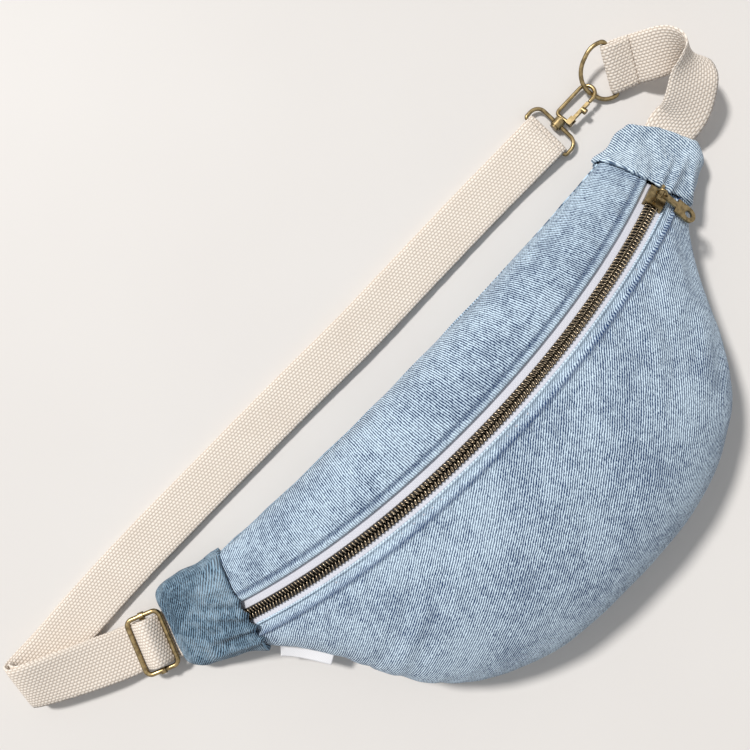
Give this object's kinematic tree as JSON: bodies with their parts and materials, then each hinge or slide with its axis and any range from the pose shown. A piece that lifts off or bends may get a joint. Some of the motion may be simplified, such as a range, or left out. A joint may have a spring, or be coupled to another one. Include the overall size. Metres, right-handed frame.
{
  "type": "waist pack",
  "caption": "Half-moon denim waist pack with a curved zip, end tabs, folded webbing strap with slide buckle, and a swivel hook closed on a D-ring.",
  "frame": {"origin": "middle of the back panel's flat, on the face the pack lies on", "axes": "+X along the pack from the buckle's end to the zip slider's end, +Y towards the top edge, +Z out of the front; lengths in metres"},
  "size_m": [0.4611, 0.1966, 0.0645],
  "materials": {
    "denim": "washed light blue twill, mottled",
    "lining": "plain cotton",
    "zip_tape": "white woven tape",
    "zip_metal": "dark antique teeth",
    "antique_brass": "antique, worn",
    "webbing": "cream basket weave",
    "tag": "white satin ribbon, blank"
  },
  "bodies": {
    "pack": {"front_upper_panel": "denim", "front_lower_panel": "denim", "back_panel": "denim", "left_tab": "denim", "right_tab": "denim", "lining_upper": "lining", "lining_lower": "lining", "lining_back": "lining", "zip_tape_upper": "zip_tape", "zip_tape_lower": "zip_tape", "coil_upper": "zip_metal", "coil_lower": "zip_metal", "top_stops": "zip_metal", "bottom_stop": "zip_metal", "strap_outer": "webbing", "strap_return": "webbing", "short_strap": "webbing", "buckle_frame": "antique_brass", "buckle_bar": "antique_brass", "side_tag": "tag"},
    "zip_slider": {"slider": "antique_brass"},
    "zip_link": {"pull_link": "antique_brass"},
    "zip_pull": {"pull_tab": "antique_brass"},
    "ring": {"d_ring": "antique_brass"},
    "hook_swivel_eye": {"hook_eye": "antique_brass"},
    "hook": {"hook_body": "antique_brass", "gate_pin": "antique_brass"},
    "gate": {"hook_gate": "antique_brass"}
  },
  "joints": [
    {"name": "zip_slide", "type": "hinge", "parent": "pack", "child": "zip_slider", "pos_m": [0, 0.13642, -0.18519], "axis": [0, -0.9203, -0.3911], "range_deg": [0, 60], "deforming": ["coil_upper", "coil_lower"]},
    {"name": "link_swing", "type": "hinge", "parent": "zip_slider", "child": "zip_link", "pos_m": [0.14099, 0.04797, 0.03218], "axis": [-0.8572, -0.2015, 0.474], "range_deg": [0, 105]},
    {"name": "pull_swing", "type": "hinge", "parent": "zip_link", "child": "zip_pull", "pos_m": [0.14119, 0.04719, 0.03221], "axis": [-0.8572, -0.2015, 0.474], "range_deg": [0, 70]},
    {"name": "ring_swing", "type": "hinge", "parent": "pack", "child": "ring", "pos_m": [0.1768, 0.1071, 0.0086], "axis": [0.3295, 0.8279, 0.454], "range_deg": [0, 12]},
    {"name": "hook_lift", "type": "hinge", "parent": "pack", "child": "hook_swivel_eye", "pos_m": [0.131, 0.1072, 0.00295], "axis": [-0.0115, 0.9999, 0], "range_deg": [-6, 0]},
    {"name": "hook_swivel", "type": "hinge", "parent": "hook_swivel_eye", "child": "hook", "pos_m": [0.131, 0.1072, 0.00295], "axis": [0.9981, 0.0115, 0.0608], "range_deg": [-8, 3]},
    {"name": "gate_open", "type": "hinge", "parent": "hook", "child": "gate", "pos_m": [0.14539, 0.10319, 0.00551], "axis": [-0.0607, 0.3739, 0.9255], "range_deg": [0, 22], "stiffness_Nm_per_rad": 0.02}
  ],
  "couplings": [
    {"joint": "hook_lift", "follows": "ring_swing", "ratio": -0.5}
  ]
}
